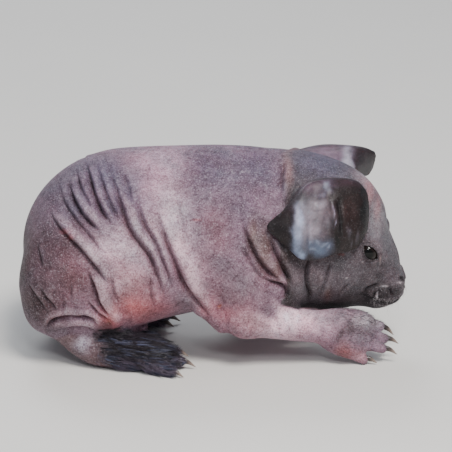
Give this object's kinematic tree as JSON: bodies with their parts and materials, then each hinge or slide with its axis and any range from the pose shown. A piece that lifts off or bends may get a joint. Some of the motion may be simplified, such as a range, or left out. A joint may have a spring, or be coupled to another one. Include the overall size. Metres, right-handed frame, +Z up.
{
  "type": "newborn skinny pig model",
  "caption": "Life-size still model of a newborn hairless guinea pig: crouched with wrinkled haunches, floppy ears, one foreleg stretched forward and dark-furred hind feet.",
  "frame": {"origin": "centre of the bounding box, on the floor that the feet stand on", "axes": "+X towards the nose, +Y to the animal's left, +Z up"},
  "size_m": [0.1053, 0.0506, 0.0575],
  "materials": {
    "body_skin": "bare mottled skin, soft sheen",
    "limb_skin": "bare pale skin, soft sheen",
    "head_skin": "bare dark skin, soft sheen",
    "ear_skin": "thin smooth skin, glossy",
    "hind_foot_fur": "short sleek fur",
    "eye": "wet gloss",
    "claw": "horn, satin"
  },
  "bodies": {
    "root": {"head": "head_skin", "neck": "body_skin", "chest": "body_skin", "rump": "body_skin", "haunch_right": "body_skin", "haunch_left": "body_skin", "forearm_right": "limb_skin", "forearm_left": "limb_skin", "forepaw_right": "limb_skin", "forepaw_left": "limb_skin", "hind_foot_right": "hind_foot_fur", "hind_foot_left": "hind_foot_fur", "ear_right": "ear_skin", "ear_left": "ear_skin", "eye_right": "eye", "eye_left": "eye", "claw_fore_right_1": "claw", "claw_fore_right_2": "claw", "claw_fore_right_3": "claw", "claw_fore_right_4": "claw", "claw_fore_left_1": "claw", "claw_fore_left_2": "claw", "claw_fore_left_3": "claw", "claw_fore_left_4": "claw", "claw_hind_right_1": "claw", "claw_hind_right_2": "claw", "claw_hind_right_3": "claw", "claw_hind_left_1": "claw", "claw_hind_left_2": "claw", "claw_hind_left_3": "claw"}
  },
  "joints": []
}
